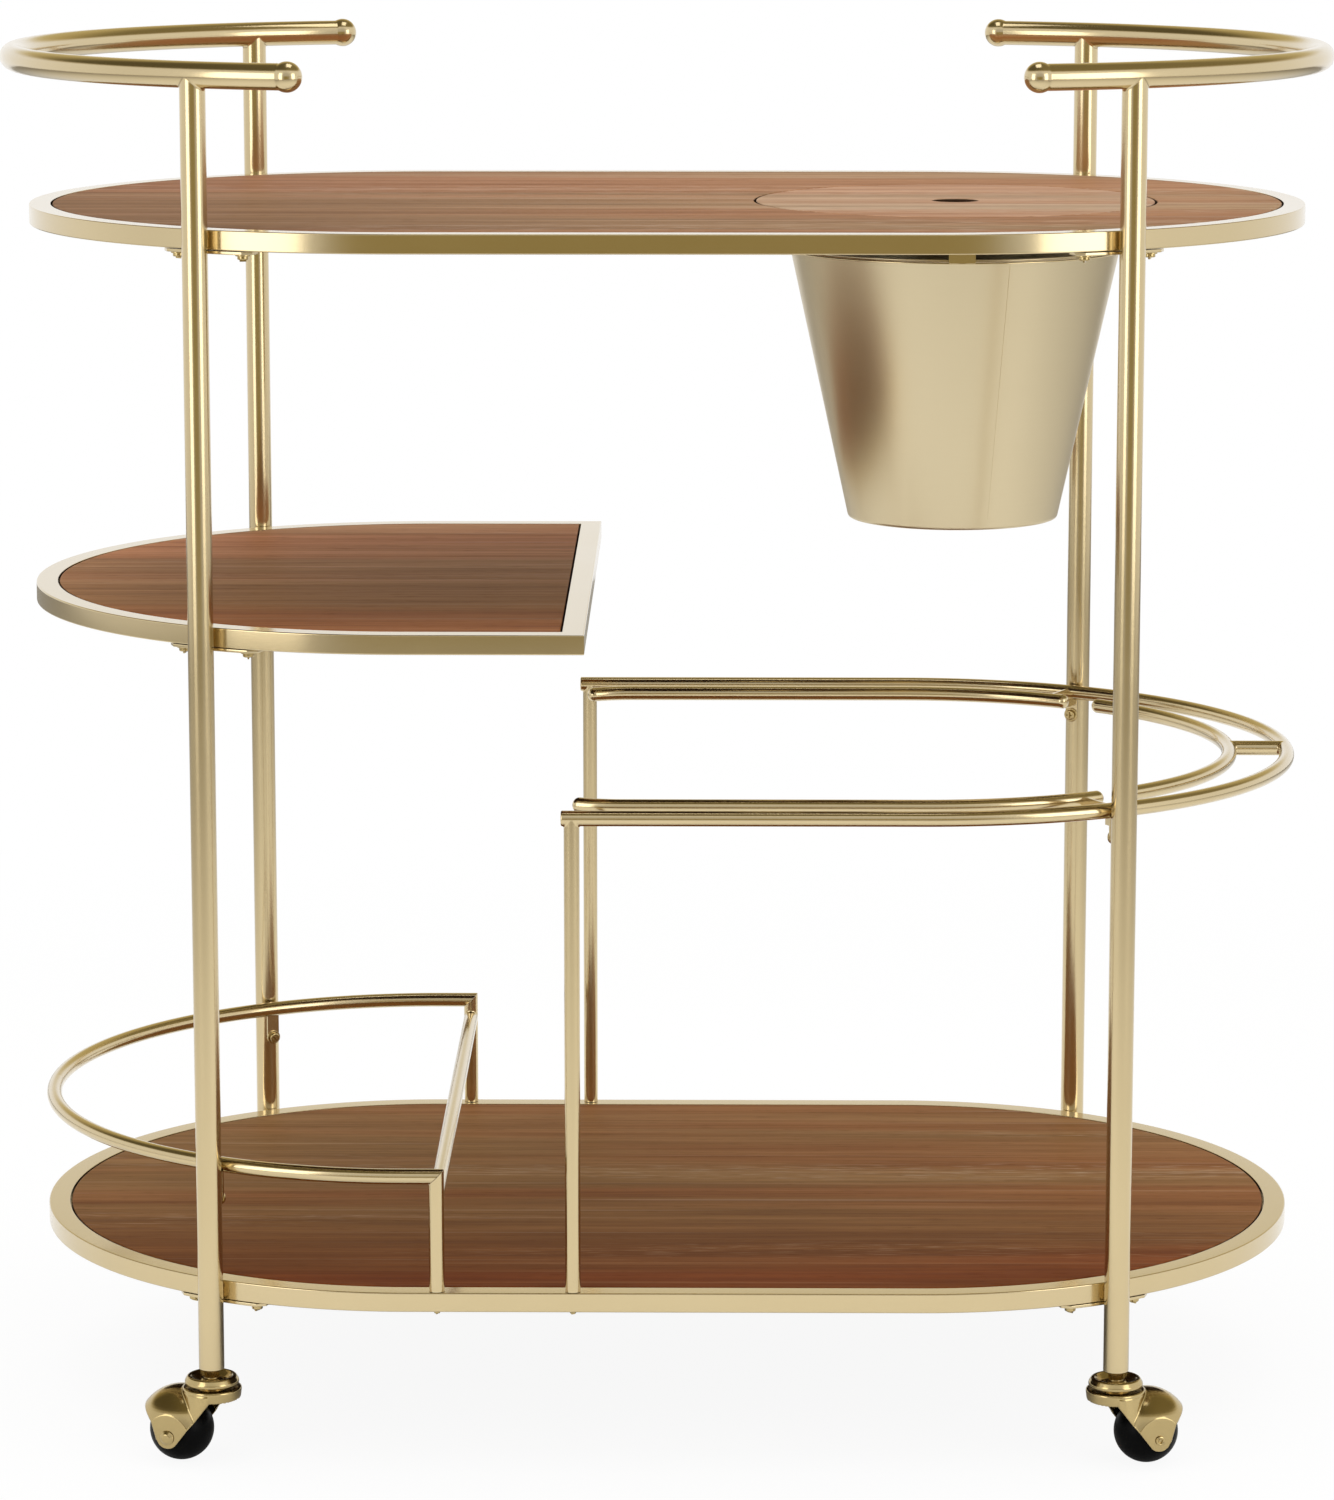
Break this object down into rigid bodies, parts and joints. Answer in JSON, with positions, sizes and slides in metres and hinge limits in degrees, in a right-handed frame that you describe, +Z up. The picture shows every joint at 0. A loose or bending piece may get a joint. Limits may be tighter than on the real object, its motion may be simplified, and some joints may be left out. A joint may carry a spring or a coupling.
{
  "type": "rolling bar cart",
  "caption": "Oval gold bar cart on swivelling ball casters, with wood shelves, curved push handles, a stemware rack, a bottle gallery and a lidded ice bucket let into the top.",
  "frame": {"origin": "on the floor, under the middle of the cart", "axes": "+Z up, +X to the end with the ice bucket and stemware rack, -Y to the front that the picture shows"},
  "size_m": [0.8356, 0.5072, 0.8602],
  "materials": {
    "frame_gold": "satin champagne gold",
    "caster_brass": "polished",
    "walnut": "satin veneer",
    "rubber": "smooth",
    "bucket_gold": "brushed satin gold"
  },
  "bodies": {
    "cart": {"post_front_left": "frame_gold", "top_plate_front_left": "frame_gold", "bottom_plate_front_left": "frame_gold", "caster_plate_front_left": "caster_brass", "post_front_right": "frame_gold", "top_plate_front_right": "frame_gold", "bottom_plate_front_right": "frame_gold", "caster_plate_front_right": "caster_brass", "post_back_left": "frame_gold", "top_plate_back_left": "frame_gold", "bottom_plate_back_left": "frame_gold", "caster_plate_back_left": "caster_brass", "post_back_right": "frame_gold", "top_plate_back_right": "frame_gold", "bottom_plate_back_right": "frame_gold", "caster_plate_back_right": "caster_brass", "middle_plate_front_left": "frame_gold", "middle_plate_back_left": "frame_gold", "handle_left": "frame_gold", "handle_finial_front_left": "frame_gold", "handle_finial_back_left": "frame_gold", "handle_right": "frame_gold", "handle_finial_front_right": "frame_gold", "handle_finial_back_right": "frame_gold", "top_shelf_rim": "frame_gold", "top_shelf_panel": "walnut", "middle_shelf_rim": "frame_gold", "middle_shelf_panel": "walnut", "bottom_shelf_rim": "frame_gold", "bottom_shelf_panel": "walnut", "bucket_hanger": "frame_gold", "rack_outer_rail": "frame_gold", "rack_inner_loop": "frame_gold", "gallery_rail": "frame_gold", "gallery_cross_tube": "frame_gold", "rack_inner_rail_front": "frame_gold", "rack_upright_front": "frame_gold", "rack_bracket_front": "frame_gold", "gallery_upright_front": "frame_gold", "gallery_tab_front": "frame_gold", "rack_inner_rail_back": "frame_gold", "rack_upright_back": "frame_gold", "rack_bracket_back": "frame_gold", "gallery_upright_back": "frame_gold", "gallery_tab_back": "frame_gold"},
    "caster_front_left": {"caster_hood_front_left": "caster_brass", "caster_axle_front_left": "caster_brass"},
    "wheel_front_left": {"caster_wheel_front_left": "rubber"},
    "caster_front_right": {"caster_hood_front_right": "caster_brass", "caster_axle_front_right": "caster_brass"},
    "wheel_front_right": {"caster_wheel_front_right": "rubber"},
    "caster_back_left": {"caster_hood_back_left": "caster_brass", "caster_axle_back_left": "caster_brass"},
    "wheel_back_left": {"caster_wheel_back_left": "rubber"},
    "caster_back_right": {"caster_hood_back_right": "caster_brass", "caster_axle_back_right": "caster_brass"},
    "wheel_back_right": {"caster_wheel_back_right": "rubber"},
    "bucket": {"ice_bucket_wall": "bucket_gold", "ice_bucket_base": "bucket_gold"},
    "lid": {"bucket_lid": "walnut"}
  },
  "joints": [
    {"name": "swivel_front_left", "type": "hinge", "parent": "cart", "child": "caster_front_left", "pos_m": [-0.27789, -0.22173, 0.0486], "axis": [0, 0, 1], "continuous": true},
    {"name": "roll_front_left", "type": "hinge", "parent": "caster_front_left", "child": "wheel_front_left", "pos_m": [-0.29739, -0.2154, 0.0198], "axis": [0.309, 0.9511, 0], "continuous": true},
    {"name": "swivel_front_right", "type": "hinge", "parent": "cart", "child": "caster_front_right", "pos_m": [0.27789, -0.22173, 0.0486], "axis": [0, 0, 1], "continuous": true},
    {"name": "roll_front_right", "type": "hinge", "parent": "caster_front_right", "child": "wheel_front_right", "pos_m": [0.29739, -0.2154, 0.0198], "axis": [0.309, -0.9511, 0], "continuous": true},
    {"name": "swivel_back_left", "type": "hinge", "parent": "cart", "child": "caster_back_left", "pos_m": [-0.27789, 0.22173, 0.0486], "axis": [0, 0, 1], "continuous": true},
    {"name": "roll_back_left", "type": "hinge", "parent": "caster_back_left", "child": "wheel_back_left", "pos_m": [-0.29739, 0.22806, 0.0198], "axis": [0.309, 0.9511, 0], "continuous": true},
    {"name": "swivel_back_right", "type": "hinge", "parent": "cart", "child": "caster_back_right", "pos_m": [0.27789, 0.22173, 0.0486], "axis": [0, 0, 1], "continuous": true},
    {"name": "roll_back_right", "type": "hinge", "parent": "caster_back_right", "child": "wheel_back_right", "pos_m": [0.29739, 0.22806, 0.0198], "axis": [0.309, -0.9511, 0], "continuous": true},
    {"name": "bucket_lift", "type": "slide", "parent": "cart", "child": "bucket", "axis": [0, 0, 1], "range_m": [0, 0.25]},
    {"name": "lid_lift", "type": "slide", "parent": "bucket", "child": "lid", "axis": [0, 0, 1], "range_m": [0, 0.2]}
  ]
}
